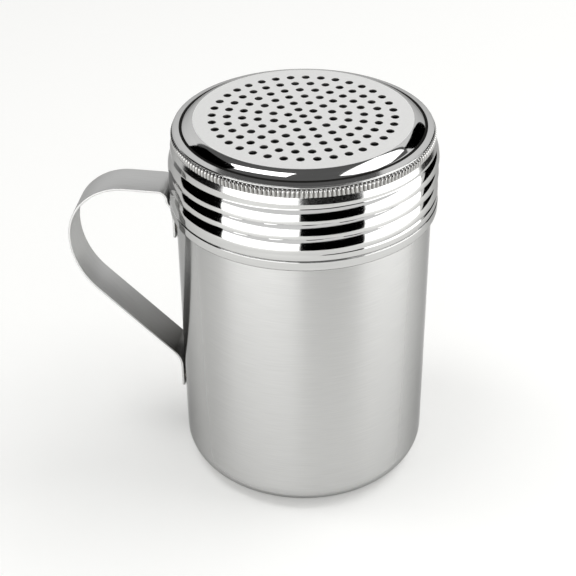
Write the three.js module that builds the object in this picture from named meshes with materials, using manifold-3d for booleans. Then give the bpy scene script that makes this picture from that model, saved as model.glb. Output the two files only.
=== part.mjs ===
// Sugar dredger in stainless steel: a drawn cup, a screwed lid with a pierced sieve, and a strap handle.
// Millimetres. +Z is up, the base stands on z = 0, the cup's axis is the Z axis.
// The handle reaches out along -X.
import * as THREE from "three";
import { mergeVertices } from "three/addons/utils/BufferGeometryUtils.js";
import Module from "manifold-3d";

const wasm = await Module();
wasm.setup();

const degrees = THREE.MathUtils.degToRad;
const AXIS_X = new THREE.Vector3(1, 0, 0);
const AXIS_Y = new THREE.Vector3(0, 1, 0);
const AXIS_Z = new THREE.Vector3(0, 0, 1);

// Cup
const CUP_RADIUS = 33.8; // outside of the wall
const CUP_HEIGHT = 100; // from the table to the rim
const CUP_WALL = 0.6;
const BASE_CORNER = 7; // outside radius where the wall turns into the base
const NECK_LENGTH = 17.3; // from the shoulder under the neck up to the rim
const NECK_STEP = 0.3; // how far the neck stands in from the wall
const RIM_INSET = 0.9; // how far the rim is drawn in from the neck
const RIM_TAPER = 4.6; // height over which it is drawn in

// Rolled thread, the same helix in the neck and in the lid, right-handed
const THREAD_LEAD = 4.15; // rise in one turn
const THREAD_HEIGHT = 0.85; // of the neck's ridge above the neck
const THREAD_CLEARANCE = 0.35; // between the neck's ridge and the lid's inside, measured across
const THREAD_BITE = 0.35; // how far the lid's groove reaches in past the top of the neck's ridge
const THREAD_FADE = 1.8; // height over which ridge and groove die away
const CREST_BELOW_RIM = 6.3; // where the ridge passes the crest angle
const CREST_ANGLE = degrees(-83.25); // measured from +X, counter-clockwise from above

// Lid, heights measured down from the top of the sieve
const LID_WALL = 0.5;
const RIM_CLEARANCE = 0.6; // between the rim and the inside of the lid's shoulder
const SIEVE_RADIUS = 27.6; // flat top of the lid
const SHOULDER_DROP = 2.6; // from the sieve down to the end of the rounded shoulder
const SHOULDER_STEP = 0.5; // from the shoulder out to the gripping band
const SHOULDER_CROWN = 0.5; // how far the shoulder bulges from a straight cone
const BAND_INSET = 1.4; // of the gripping band from the lid's widest part
const BAND_HEIGHT = 1.7;
const FLARE_HEIGHT = 3.9; // from the gripping band out to the threaded part
const THREADED_HEIGHT = 11.3;
const SKIRT_HEIGHT = 2.3; // plain part below the thread

// Hem: the lid's folded lower edge
const HEM_GAP = 0.3; // crease between skirt and hem
const HEM_HEIGHT = 2.4;
const HEM_THICKNESS = 0.7;
const HEM_PROUD = 0.1; // how far it stands out past the skirt
const HEM_ROUND = 0.3; // radius of its edges

// Sieve holes: one in the middle, then rings
const HOLE_DIAMETER = 1.8;
const RING_SPACING = 3.9;
const RING_STEP = 6; // each ring has this many holes more than the one inside it
const RING_MARGIN = 2.5; // plain edge of the sieve, from the outer ring's line
const RING_ANGLE = degrees(-5.75); // direction in which every ring has a hole

// Handle: one bent strap, welded to the wall by a tab at each end
const STRAP_WIDTH = 11.2;
const STRAP_THICKNESS = 0.6;
const WELD_GAP = 0.1; // between tab and wall, filled by the welds
const FINGER_ROOM = 28.35; // from the tabs' outer face to the inside of the loop
const STRAP_HEM_GAP = 0.15; // between the strap and the lid's hem
const BEND_BELOW_HEM = 2; // where the strap leaves the wall under the lid
const LOOP_ABOVE_HEM = 4; // middle of the strap's top run above the bottom of the hem, at its outer end
const LOOP_FALL = 0.9; // how much lower the top run is at its inner end
const LOOP_FACE = 25.6; // height of the loop's upright stretch, corner to corner
const UPPER_TAB = 9.1; // from the upper bend to the tab's end
const LOWER_TAB = 10.35; // from the lower bend to the tab's end
const LOWER_TAB_HEIGHT = 18; // from the table up to the lower tab's end
const UPPER_BEND = 2; // radii of the strap's bends, at its middle
const HEM_BEND = 2;
const TOP_BEND = 2.4;
const LOOP_TOP_BEND = 15.7;
const LOOP_LOW_BEND = 22.2;
const LOWER_BEND = 7.5;
const TAB_CORNER = 1.5; // rounding of the tabs' ends

// Spot welds, two in each tab
const WELD_RADIUS = 1.6;
const WELD_SPACING = 6;
const WELD_FROM_END = 3.2;
const WELD_FIT = 0.02; // hairline left at each face of a weld

// Fineness of the facets
const TURN_STEPS = 60; // around everything turned
const ROWS_PER_LEAD = 5; // up the threads
const HOLE_SIDES = 6;
const WELD_SIDES = 12;
const BEND_STEP = degrees(9); // along the strap's bends
const CORNER_STEPS = 5; // around the cup's corner and the lid's shoulder
const EDGE_STEPS = 2; // around the hem's edges and the tabs' corners
const SAME_POINT = 0.01; // points of the strap's line nearer than this are one point

// Worked out from the sizes above
const neckRadius = CUP_RADIUS - NECK_STEP;
const rimRadius = neckRadius - RIM_INSET;
const ridgeRadius = neckRadius + THREAD_HEIGHT;
const lidInside = ridgeRadius + THREAD_CLEARANCE;
const lidRadius = lidInside + LID_WALL;
const grooveDepth = THREAD_CLEARANCE + THREAD_BITE;
const bandRadius = lidRadius - BAND_INSET;
const shoulderRadius = bandRadius - SHOULDER_STEP;
const neckBottom = CUP_HEIGHT - NECK_LENGTH;
const neckTop = CUP_HEIGHT - RIM_TAPER;

// The shoulder bulges above a cone as a parabola: drop below the sieve at a radius.
function shoulderDrop(radius) {
  const share = (radius - SIEVE_RADIUS) / (shoulderRadius - SIEVE_RADIUS);
  return SHOULDER_DROP * share - 4 * SHOULDER_CROWN * share * (1 - share);
}

const sieveTop = CUP_HEIGHT + RIM_CLEARANCE + LID_WALL + shoulderDrop(rimRadius);
const bandTop = sieveTop - SHOULDER_DROP;
const flareTop = bandTop - BAND_HEIGHT;
const threadTop = flareTop - FLARE_HEIGHT;
const threadBottom = threadTop - THREADED_HEIGHT;
const skirtBottom = threadBottom - SKIRT_HEIGHT;
const hemTop = skirtBottom - HEM_GAP;
const hemBottom = hemTop - HEM_HEIGHT;
const hemRadius = lidRadius + HEM_PROUD;

const tabRadius = CUP_RADIUS + WELD_GAP + STRAP_THICKNESS / 2;
const upperBendZ = hemBottom - BEND_BELOW_HEM;
const lowerBendZ = LOWER_TAB_HEIGHT + LOWER_TAB;

// Geometry as a solid, its vertices merged and the triangles that collapse left out
function solid(geometry) {
  const bare = new THREE.BufferGeometry();
  bare.setAttribute("position", geometry.getAttribute("position"));
  bare.setIndex(geometry.index);
  const merged = mergeVertices(bare);
  const corners = merged.index.array;
  const kept = [];
  for (let i = 0; i < corners.length; i += 3) {
    const [a, b, c] = corners.slice(i, i + 3);
    if (a !== b && b !== c && c !== a) kept.push(a, b, c);
  }
  const mesh = new wasm.Mesh({
    numProp: 3,
    vertProperties: merged.getAttribute("position").array,
    triVerts: new Uint32Array(kept),
  });
  return new wasm.Manifold(mesh);
}

// A solid as geometry again
function geometryOf(body) {
  const mesh = body.getMesh();
  const geometry = new THREE.BufferGeometry();
  geometry.setAttribute("position", new THREE.BufferAttribute(mesh.vertProperties, 3));
  geometry.setIndex(new THREE.BufferAttribute(mesh.triVerts, 1));
  geometry.computeVertexNormals();
  return geometry;
}

// A closed outline of (radius, height) points turned about the Z axis
function turned(outline) {
  const geometry = new THREE.LatheGeometry([...outline, outline[0]], TURN_STEPS);
  return geometry.rotateX(Math.PI / 2);
}

// Points of a quarter circle or less, about a centre
function arc(centreX, centreY, radius, from, to, steps) {
  const curve = new THREE.EllipseCurve(centreX, centreY, radius, radius, from, to, to < from);
  return curve.getPoints(steps);
}

// The closed outline of a sheet whose outer face follows a line; the metal lies to the line's left.
function sheet(line, thickness) {
  const inner = line.map((point, i) => {
    const before = line[Math.max(i - 1, 0)];
    const after = line[Math.min(i + 1, line.length - 1)];
    const into = point.clone().sub(before).normalize();
    const out = after.clone().sub(point).normalize();
    const along = into.clone().add(out).normalize();
    const spread = Math.max(Math.abs(into.dot(along)), Math.abs(out.dot(along)));
    const normal = new THREE.Vector2(-along.y, along.x);
    return point.clone().addScaledVector(normal, thickness / spread);
  });
  return [...line, ...inner.reverse()];
}

// Heights of the rows in a threaded stretch, its ends left out
function threadRows(from, to) {
  const count = Math.ceil((Math.abs(to - from) * ROWS_PER_LEAD) / THREAD_LEAD);
  const rows = [];
  for (let i = 1; i < count; i++) rows.push(from + ((to - from) * i) / count);
  return rows;
}

// Height of the thread's ridge, 0 to 1, where the helix passes an angle at a height
function ridge(angle, z) {
  const turns = (z - (CUP_HEIGHT - CREST_BELOW_RIM)) / THREAD_LEAD;
  return (1 + Math.cos(2 * Math.PI * turns - (angle - CREST_ANGLE))) / 2;
}

// How much of the thread is left near the ends of its stretch, 0 to 1
function fade(z, bottom, top) {
  const room = Math.min(z - bottom, top - z);
  return THREE.MathUtils.smoothstep(room, 0, THREAD_FADE);
}

// Moves each vertex of the wall at a height between bottom and top along its radius.
function roll(geometry, bottom, top, least, offset) {
  const place = geometry.getAttribute("position");
  for (let i = 0; i < place.count; i++) {
    const radius = Math.hypot(place.getX(i), place.getY(i));
    const z = place.getZ(i);
    if (radius < least || z <= bottom || z >= top) continue;
    const angle = Math.atan2(place.getY(i), place.getX(i));
    const scale = 1 + (offset(angle, z) * fade(z, bottom, top)) / radius;
    place.setXY(i, place.getX(i) * scale, place.getY(i) * scale);
  }
  return geometry;
}

function cup() {
  const corner = arc(CUP_RADIUS - BASE_CORNER, BASE_CORNER, BASE_CORNER, -Math.PI / 2, 0, CORNER_STEPS);
  const rows = threadRows(neckBottom + NECK_STEP, neckTop);
  const line = [
    new THREE.Vector2(0, 0),
    ...corner,
    new THREE.Vector2(CUP_RADIUS, neckBottom),
    new THREE.Vector2(neckRadius, neckBottom + NECK_STEP),
    ...rows.map((z) => new THREE.Vector2(neckRadius, z)),
    new THREE.Vector2(neckRadius, neckTop),
    new THREE.Vector2(rimRadius, CUP_HEIGHT),
  ];
  const shell = turned(sheet(line, CUP_WALL));
  const raise = (angle, z) => THREAD_HEIGHT * ridge(angle, z);
  return solid(roll(shell, neckBottom + NECK_STEP, neckTop, neckRadius - 2 * CUP_WALL, raise));
}

// The lid's outer face from the middle of the sieve down to the skirt's lower edge
function lidLine() {
  const shoulder = [];
  for (let i = 0; i <= CORNER_STEPS; i++) {
    const radius = THREE.MathUtils.lerp(SIEVE_RADIUS, shoulderRadius, i / CORNER_STEPS);
    shoulder.push(new THREE.Vector2(radius, sieveTop - shoulderDrop(radius)));
  }
  const rows = threadRows(threadTop, threadBottom);
  return [
    new THREE.Vector2(0, sieveTop),
    ...shoulder,
    new THREE.Vector2(bandRadius, bandTop),
    new THREE.Vector2(bandRadius, flareTop),
    new THREE.Vector2(lidRadius, threadTop),
    ...rows.map((z) => new THREE.Vector2(lidRadius, z)),
    new THREE.Vector2(lidRadius, threadBottom),
    new THREE.Vector2(lidRadius, skirtBottom),
  ];
}

// Every hole of the sieve as a rod through it
function holeRods() {
  const rings = Math.floor((SIEVE_RADIUS - RING_MARGIN) / RING_SPACING);
  const rods = [];
  for (let ring = 0; ring <= rings; ring++) {
    const count = Math.max(1, RING_STEP * ring);
    for (let i = 0; i < count; i++) {
      const angle = RING_ANGLE + (2 * Math.PI * i) / count;
      const rod = new THREE.CylinderGeometry(HOLE_DIAMETER / 2, HOLE_DIAMETER / 2, 4 * LID_WALL, HOLE_SIDES);
      rod.rotateX(Math.PI / 2);
      rod.translate(ring * RING_SPACING * Math.cos(angle), ring * RING_SPACING * Math.sin(angle), sieveTop);
      rods.push(solid(rod));
    }
  }
  return wasm.Manifold.union(rods);
}

function lid() {
  const shell = turned(sheet(lidLine(), -LID_WALL).reverse());
  const lower = (angle, z) => -grooveDepth * (1 - ridge(angle, z));
  const rolled = roll(shell, threadBottom, threadTop, lidInside - LID_WALL, lower);
  return solid(rolled).subtract(holeRods());
}

function lidHem() {
  const inside = hemRadius - HEM_THICKNESS;
  const round = (radius, z, from) => arc(radius, z, HEM_ROUND, from, from + Math.PI / 2, EDGE_STEPS);
  const outline = [
    ...round(inside + HEM_ROUND, hemBottom + HEM_ROUND, -Math.PI),
    ...round(hemRadius - HEM_ROUND, hemBottom + HEM_ROUND, -Math.PI / 2),
    ...round(hemRadius - HEM_ROUND, hemTop - HEM_ROUND, 0),
    ...round(inside + HEM_ROUND, hemTop - HEM_ROUND, Math.PI / 2),
  ];
  return solid(turned(outline));
}

// Length of leg that a bend of a radius takes up on each side of its corner
function bendLeg(before, corner, after, radius) {
  const back = before.clone().sub(corner);
  const ahead = after.clone().sub(corner);
  const angle = Math.acos(back.dot(ahead) / (back.length() * ahead.length()));
  return { leg: radius / Math.tan(angle / 2), angle };
}

// A line of corners, each inner one rounded to its radius, or to less where two bends meet on a short leg
function rounded(corners, radii) {
  const bends = corners.map((corner, i) => {
    const inner = i > 0 && i < corners.length - 1;
    return inner ? bendLeg(corners[i - 1], corner, corners[i + 1], radii[i - 1]) : { leg: 0 };
  });
  const share = bends.slice(1).map((bend, i) => {
    const length = corners[i].distanceTo(corners[i + 1]);
    return Math.min(1, length / (bends[i].leg + bend.leg));
  });
  const points = [corners[0]];
  for (let i = 1; i < corners.length - 1; i++) {
    const leg = bends[i].leg * Math.min(share[i - 1], share[i]);
    const back = corners[i - 1].clone().sub(corners[i]).normalize();
    const ahead = corners[i + 1].clone().sub(corners[i]).normalize();
    const start = corners[i].clone().addScaledVector(back, leg);
    const end = corners[i].clone().addScaledVector(ahead, leg);
    const middle = back.clone().add(ahead).normalize();
    const centre = corners[i].clone().addScaledVector(middle, leg / Math.cos(bends[i].angle / 2));
    points.push(...bendPoints(centre, start, end));
  }
  points.push(corners[corners.length - 1]);
  return points.filter((point, i) => i === 0 || point.distanceTo(points[i - 1]) > SAME_POINT);
}

// Points along the shorter arc about a centre from one point to another
function bendPoints(centre, start, end) {
  const radius = start.distanceTo(centre);
  const from = start.clone().sub(centre).angle();
  const turn = end.clone().sub(centre).angle() - from;
  const sweep = THREE.MathUtils.euclideanModulo(turn + Math.PI, 2 * Math.PI) - Math.PI;
  const steps = Math.max(2, Math.ceil(Math.abs(sweep) / BEND_STEP));
  const points = [];
  for (let k = 0; k <= steps; k++) {
    const angle = from + (sweep * k) / steps;
    points.push(new THREE.Vector2(Math.cos(angle), Math.sin(angle)).multiplyScalar(radius).add(centre));
  }
  return points;
}

// The strap's middle line, as (x, z) points
function strapLine() {
  const hemPass = hemRadius + STRAP_HEM_GAP + STRAP_THICKNESS / 2;
  const topRun = hemBottom + LOOP_ABOVE_HEM;
  const reach = tabRadius + STRAP_THICKNESS + FINGER_ROOM;
  const corners = [
    new THREE.Vector2(-tabRadius, upperBendZ - UPPER_TAB),
    new THREE.Vector2(-tabRadius, upperBendZ),
    new THREE.Vector2(-hemPass, hemBottom),
    new THREE.Vector2(-hemPass, topRun - LOOP_FALL),
    new THREE.Vector2(-reach, topRun),
    new THREE.Vector2(-reach, topRun - LOOP_FACE),
    new THREE.Vector2(-tabRadius, lowerBendZ),
    new THREE.Vector2(-tabRadius, LOWER_TAB_HEIGHT),
  ];
  return rounded(corners, [UPPER_BEND, HEM_BEND, TOP_BEND, LOOP_TOP_BEND, LOOP_LOW_BEND, LOWER_BEND]);
}

// A closed shape in the (y, z) plane, thick along X about an x
function slab(points, x, thickness) {
  const block = new THREE.ExtrudeGeometry(new THREE.Shape(points), { depth: thickness, bevelEnabled: false });
  block.translate(0, 0, x - thickness / 2);
  const toX = new THREE.Matrix4().makeBasis(AXIS_Y, AXIS_Z, AXIS_X);
  return block.applyMatrix4(toX);
}

// What is cut off one corner of a tab's end: side is -1 or 1 along Y.
function tabCorner(endZ, side) {
  const edge = STRAP_WIDTH / 2;
  const centre = edge - TAB_CORNER;
  const curve = arc(centre, endZ + TAB_CORNER, TAB_CORNER, -Math.PI / 2, 0, EDGE_STEPS);
  const beyond = [
    new THREE.Vector2(edge + TAB_CORNER, endZ + TAB_CORNER),
    new THREE.Vector2(edge + TAB_CORNER, endZ - TAB_CORNER),
    new THREE.Vector2(centre, endZ - TAB_CORNER),
  ];
  const points = [...curve, ...beyond].map((point) => new THREE.Vector2(side * point.x, point.y));
  return solid(slab(points, -tabRadius, 2 * STRAP_THICKNESS));
}

function handle() {
  const line = strapLine();
  const centred = sheet(line, STRAP_THICKNESS / 2).slice(line.length).reverse();
  const outline = sheet(centred, -STRAP_THICKNESS);
  const strip = new THREE.ExtrudeGeometry(new THREE.Shape(outline), {
    depth: STRAP_WIDTH,
    bevelEnabled: false,
  });
  strip.rotateX(Math.PI / 2).translate(0, STRAP_WIDTH / 2, 0);
  const cuts = [upperBendZ - UPPER_TAB, LOWER_TAB_HEIGHT].flatMap((endZ) => [
    tabCorner(endZ, -1),
    tabCorner(endZ, 1),
  ]);
  return solid(strip).subtract(wasm.Manifold.union(cuts));
}

// One spot weld: it fills the gap between the wall and a tab at a place across and up the tab.
function weld(y, z) {
  const face = CUP_RADIUS + WELD_GAP - WELD_FIT;
  const rod = new THREE.CylinderGeometry(WELD_RADIUS, WELD_RADIUS, CUP_WALL + WELD_GAP, WELD_SIDES);
  rod.rotateZ(Math.PI / 2).translate(-face + (CUP_WALL + WELD_GAP) / 2, y, z);
  const wall = turned([
    new THREE.Vector2(0, 0),
    new THREE.Vector2(CUP_RADIUS + WELD_FIT, 0),
    new THREE.Vector2(CUP_RADIUS + WELD_FIT, CUP_HEIGHT),
    new THREE.Vector2(0, CUP_HEIGHT),
  ]);
  return solid(rod).subtract(solid(wall));
}

// Finishes, as colour, roughness and metalness
const BRUSHED = { color: 0xc4c4c2, roughness: 0.36, metalness: 1 };
const POLISHED = { color: 0xd4d4d2, roughness: 0.12, metalness: 1 };
const WELDED = { color: 0x8c8a86, roughness: 0.5, metalness: 1 };

function named(name, body, finish) {
  const mesh = new THREE.Mesh(geometryOf(body), new THREE.MeshStandardMaterial(finish));
  mesh.name = name;
  return mesh;
}

const dredger = new THREE.Group();
const cupAssembly = new THREE.Group();
cupAssembly.add(named("cup", cup(), BRUSHED));
cupAssembly.add(named("handle", handle(), BRUSHED));
const tabs = { upper: upperBendZ - UPPER_TAB, lower: LOWER_TAB_HEIGHT };
for (const [tab, endZ] of Object.entries(tabs)) {
  const z = endZ + WELD_FROM_END;
  cupAssembly.add(named(`weld_${tab}_front`, weld(-WELD_SPACING / 2, z), WELDED));
  cupAssembly.add(named(`weld_${tab}_back`, weld(WELD_SPACING / 2, z), WELDED));
}

const lidAssembly = new THREE.Group();
lidAssembly.add(named("lid", lid(), POLISHED));
lidAssembly.add(named("lid_hem", lidHem(), POLISHED));

dredger.add(cupAssembly, lidAssembly);
export default dredger;
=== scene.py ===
# %% [markdown]
# # Dressing a steel sugar dredger
#
# A dredger is a small steel cup with a screwed lid. The lid's flat top is pierced with holes, and you shake
# sugar or flour through them. The CAD model already says where each part sits and how it moves. This lesson
# gives the same parts their finished look: round holes, a rolled thread, a ribbed grip, a bent strap, and
# the satin and mirror finishes of stainless steel.
#
# The CAD model is opened first, and nothing in it is moved.

# %% Open the imported part
import math

import bmesh
import bpy
from mathutils import Matrix, Vector


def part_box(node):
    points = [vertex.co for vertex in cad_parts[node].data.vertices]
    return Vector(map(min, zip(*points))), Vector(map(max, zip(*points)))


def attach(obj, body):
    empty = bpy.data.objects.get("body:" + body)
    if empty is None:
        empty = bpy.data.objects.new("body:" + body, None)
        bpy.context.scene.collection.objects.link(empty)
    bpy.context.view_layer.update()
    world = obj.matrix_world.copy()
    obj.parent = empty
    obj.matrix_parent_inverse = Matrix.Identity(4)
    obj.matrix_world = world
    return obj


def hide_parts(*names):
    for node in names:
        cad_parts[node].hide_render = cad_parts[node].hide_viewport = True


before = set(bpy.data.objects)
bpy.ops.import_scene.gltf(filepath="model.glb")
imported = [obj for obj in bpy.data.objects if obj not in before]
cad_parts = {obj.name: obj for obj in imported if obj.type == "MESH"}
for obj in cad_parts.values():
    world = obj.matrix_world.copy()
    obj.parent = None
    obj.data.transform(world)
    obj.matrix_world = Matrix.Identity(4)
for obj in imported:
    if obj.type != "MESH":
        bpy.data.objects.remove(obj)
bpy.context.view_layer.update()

# %% [markdown]
# ## Units and colour
#
# Blender works in metres here, and a maker of tinware thinks in millimetres, so lengths are written as a
# number times MM. Colours are written as the hex value that a screen shows. Shaders want linear light, so
# one function turns the first into the second, by the curve of the sRGB standard.

# %% Millimetres and colour
MM = 0.001


def linear(hex_colour):
    """Turns a screen colour such as "#c8c8c6" into linear red, green, blue and alpha."""
    channels = [int(hex_colour[i : i + 2], 16) / 255 for i in (1, 3, 5)]
    return [c / 12.92 if c <= 0.04045 else ((c + 0.055) / 1.055) ** 2.4 for c in channels] + [1.0]


scene = bpy.context.scene
scene.view_settings.view_transform = "Standard"
print("mid steel in linear light", [round(c, 3) for c in linear("#c8c8c6")])

# %% [markdown]
# ## Camera
#
# The picture looks down at the dredger from about thirty-three degrees, a little from the right of the side
# that faces us, with the handle on the left. A fairly long lens keeps the cup's sides almost upright. The
# camera is turned in the order that a tripod is: the heading about the upright, then the tilt, then a small
# roll about the lens.

# %% Set the camera on its tripod
CAMERA_PLACE = Vector((33.24, -317.59, 260.97)) * MM
CAMERA_HEADING = math.radians(6.75)
CAMERA_TILT = math.radians(33.37)
CAMERA_ROLL = math.radians(-0.57)
LENS = 86.6  # millimetres, on the usual 36 mm of sensor
NEAREST_SEEN = 10 * MM

bpy.ops.object.select_all(action="DESELECT")
bpy.ops.object.camera_add()
camera = bpy.context.object
camera.name = "tripod_camera"
camera.data.lens = LENS
camera.data.clip_start = NEAREST_SEEN
turned = Matrix.Rotation(CAMERA_HEADING, 4, "Z") @ Matrix.Rotation(math.pi / 2 - CAMERA_TILT, 4, "X")
camera.matrix_world = Matrix.Translation(CAMERA_PLACE) @ turned @ Matrix.Rotation(CAMERA_ROLL, 4, "Z")
scene.camera = camera
print("camera stands", round(CAMERA_PLACE.length, 3), "m from the foot of the dredger")

# %% [markdown]
# ## One function for nodes
#
# Every material below is a small tree of nodes. This function adds one node, gives it its settings, and
# fills its sockets: a number or colour is written in, and another node's output is linked.

# %% Add a node
def add_node(tree, kind, sockets=None, **settings):
    """Adds a node, and fills the input sockets that are named or numbered."""
    node = tree.nodes.new(kind)
    for name, value in settings.items():
        setattr(node, name, value)
    for socket, value in (sockets or {}).items():
        if isinstance(value, bpy.types.NodeSocket):
            tree.links.new(value, node.inputs[socket])
        else:
            node.inputs[socket].default_value = value
    return node


# %% [markdown]
# ## Table, white surroundings and lamps
#
# Polished steel has hardly any look of its own: it shows what stands around it. A product photographer puts
# such a piece on a white table, stands large soft lamps around it, and black cards between the lamps, so
# that the steel gets clean white areas with crisp dark edges.
#
# The world is white for what the camera sees and for what the steel reflects, and gives a plain soft light
# to everything else. A Light Path node tells these rays apart.

# %% White world
WHITE = "#ffffff"
WORLD_LIGHT = 0.54  # what the world adds to the lamps on plain surfaces


def seen_directly(tree):
    """Gives 1 to rays from the camera or from the steel, and 0 to the light that falls on plain surfaces."""
    path = add_node(tree, "ShaderNodeLightPath")
    seen = path.outputs["Is Camera Ray"]
    for ray in ("Is Glossy Ray", "Is Transmission Ray"):
        either = add_node(tree, "ShaderNodeMath", {0: seen, 1: path.outputs[ray]}, operation="MAXIMUM")
        seen = either.outputs[0]
    return seen


world = bpy.data.worlds.new("white_studio")
scene.world = world
world.use_nodes = True
tree = world.node_tree
tree.nodes.clear()
strength = add_node(
    tree,
    "ShaderNodeMapRange",
    {"Value": seen_directly(tree), "To Min": WORLD_LIGHT, "To Max": 1.0},
)
sky = add_node(tree, "ShaderNodeBackground", {"Color": linear(WHITE), "Strength": strength.outputs[0]})
add_node(tree, "ShaderNodeOutputWorld", {"Surface": sky.outputs[0]})
print("world", world.name)

# %% [markdown]
# The table is one large pale disc of matt board, which keeps the dredger's soft shadow. It could be a plain
# diffuse surface alone, but would then look grey away from the lamps. A little glow, only for rays that see
# it directly, lifts it to the white of the world.

# %% Pale table
TABLE_RADIUS = 2.5
TABLE_SIDES = 96
TABLE_DROP = 0.02 * MM  # hairline under the cup's base, so that the two faces don't share a plane
TABLE_COLOUR = "#f4f4f2"
TABLE_GLOW = 0.12  # what the camera and the steel see on top of the table's own light

bpy.ops.mesh.primitive_circle_add(
    vertices=TABLE_SIDES, radius=TABLE_RADIUS, fill_type="NGON", location=(0, 0, -TABLE_DROP)
)
table = bpy.context.object
table.name = "table"
bpy.ops.object.transform_apply()

table_paint = bpy.data.materials.new("matt_white_board")
table_paint.use_nodes = True
tree = table_paint.node_tree
tree.nodes.clear()
glow = add_node(tree, "ShaderNodeMath", {0: seen_directly(tree), 1: TABLE_GLOW}, operation="MULTIPLY")
board = add_node(tree, "ShaderNodeBsdfDiffuse", {"Color": linear(TABLE_COLOUR)})
white = add_node(tree, "ShaderNodeEmission", {"Color": linear(WHITE), "Strength": glow.outputs[0]})
both = add_node(tree, "ShaderNodeAddShader", {0: board.outputs[0], 1: white.outputs[0]})
add_node(tree, "ShaderNodeOutputMaterial", {"Surface": both.outputs[0]})
table.data.materials.append(table_paint)
print("table is", 2 * TABLE_RADIUS, "m across")

# %% [markdown]
# A lamp or a card is placed as a person would set it: so many degrees round from the camera, so far off, so
# wide and so high, and facing the dredger. Three small functions turn such words into places.

# %% Places around the dredger
STAND_DISTANCE = 0.30


def around(degrees_right, distance, height=0.0):
    """A point so many degrees to the right of the camera, as seen from the dredger."""
    angle = CAMERA_HEADING + math.radians(degrees_right)
    return Vector((math.sin(angle) * distance, -math.cos(angle) * distance, height))


def facing(place, target):
    """Turns a flat lamp or card, whose front is its lower side, from its place towards a target."""
    return Matrix.Translation(place) @ (target - place).to_track_quat("-Z", "Y").to_matrix().to_4x4()


def standing(bearing_left, bearing_right, height):
    """Middle and width of a flat thing that stands between two bearings, in degrees from the camera."""
    middle = (bearing_left + bearing_right) / 2
    width = 2 * STAND_DISTANCE * math.tan(math.radians(bearing_right - bearing_left) / 2)
    return around(middle, STAND_DISTANCE, height / 2), width


print("a stand before the camera is at", [round(c, 3) for c in around(0, STAND_DISTANCE)])

# %% [markdown]
# A soft lamp is given by its brightness as the eye sees it, where 1 is white, and its power follows from
# that and its area. A card is a glowing or a black sheet that only the steel sees. A real card would also
# take light away from the table, so here it throws no shadow.

# %% A soft lamp and a card
def soft_lamp(name, place, target, width, height, brightness):
    """A rectangular lamp of a given brightness to the eye, which the camera itself doesn't see."""
    bpy.ops.object.light_add(type="AREA")
    lamp = bpy.context.object
    lamp.name = name
    lamp.data.shape = "RECTANGLE"
    lamp.data.size = width
    lamp.data.size_y = height
    lamp.data.energy = brightness * math.pi * width * height
    lamp.matrix_world = facing(place, target)
    lamp.visible_camera = False
    print(name, "has", round(lamp.data.energy, 2), "watts")
    return lamp


def card(name, place, target, width, height, colour, glow=0.0, lean=0.0):
    """A flat card that only shows in the steel: it throws no shadow and the camera doesn't see it."""
    bpy.ops.mesh.primitive_plane_add(size=1)
    board = bpy.context.object
    board.name = name
    board.scale = (width, height, 1)
    bpy.ops.object.transform_apply(location=False, rotation=False)
    board.matrix_world = facing(place, target) @ Matrix.Rotation(math.radians(lean), 4, "Z")
    paint = bpy.data.materials.new(name + "_paper")
    paint.use_nodes = True
    paint.node_tree.nodes.clear()
    paper = add_node(paint.node_tree, "ShaderNodeEmission", {"Color": linear(colour), "Strength": glow})
    add_node(paint.node_tree, "ShaderNodeOutputMaterial", {"Surface": paper.outputs[0]})
    board.data.materials.append(paint)
    board.visible_camera = False
    board.visible_diffuse = False
    board.visible_shadow = False


# %% [markdown]
# Two lamps stand on the table in front. They make the white areas of the thread and of the cup, and the
# black card between them makes the dark bands in the middle. The two leaning cards at the sides darken the
# dredger's edges, so that it doesn't melt into the white.

# %% Lamps and cards on the table
BLACK = "#000000"
FRONT_HEIGHT = 0.122
FRONT_LAMPS = {"left_front_lamp": (-66, -4.5), "right_front_lamp": (46, 102)}  # bearings of their sides
FRONT_BRIGHTNESS = 2.06
MIDDLE_CARD_HEIGHT = 0.14
MIDDLE_CARD = (-3.5, 45)
CARD_BEHIND = 0.02  # the side cards stand this far behind the lamps, so that no gap shows between them
SIDE_CARDS = {  # bearing and height of the middle, width, length, and degrees that it leans away
    "left_card": (-96, 0.20, 0.29, 0.66, 21.5),
    "right_card": (127, 0.12, 0.18, 0.40, -17),
}

for name, (left, right) in FRONT_LAMPS.items():
    place, width = standing(left, right, FRONT_HEIGHT)
    soft_lamp(name, place, Vector((0, 0, place.z)), width, FRONT_HEIGHT, FRONT_BRIGHTNESS)
place, width = standing(*MIDDLE_CARD, MIDDLE_CARD_HEIGHT)
card("middle_card", place, Vector((0, 0, place.z)), width, MIDDLE_CARD_HEIGHT, BLACK)
for name, (bearing, height, width, length, lean) in SIDE_CARDS.items():
    place = around(bearing, STAND_DISTANCE + CARD_BEHIND, height)
    card(name, place, Vector((0, 0, height)), width, length, BLACK, lean=lean)
print("lamps and cards stand", STAND_DISTANCE, "m from the dredger")

# %% [markdown]
# Overhead, a dim ceiling keeps the lid's shoulder dark, and two lamps under it leave the two white patches
# there. The ceiling hangs more over the camera than over the dredger, so that the flat sieve shows the white
# world behind it.

# %% Lamps and ceiling overhead
OVERHEAD = 1.0  # height of the two lamps above the table
TOP_LAMPS = {  # how far right and back of the dredger, width, depth, degrees turned, and brightness
    "left_top_lamp": (-0.37, 0.0, 0.58, 0.27, -24, 4.6),
    "right_top_lamp": (0.70, 0.22, 0.70, 0.94, 0, 2.65),
}
CEILING = 1.4
CEILING_SIZE = 4.0
CEILING_FORWARD = 0.7
CEILING_GLOW = 0.14

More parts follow.
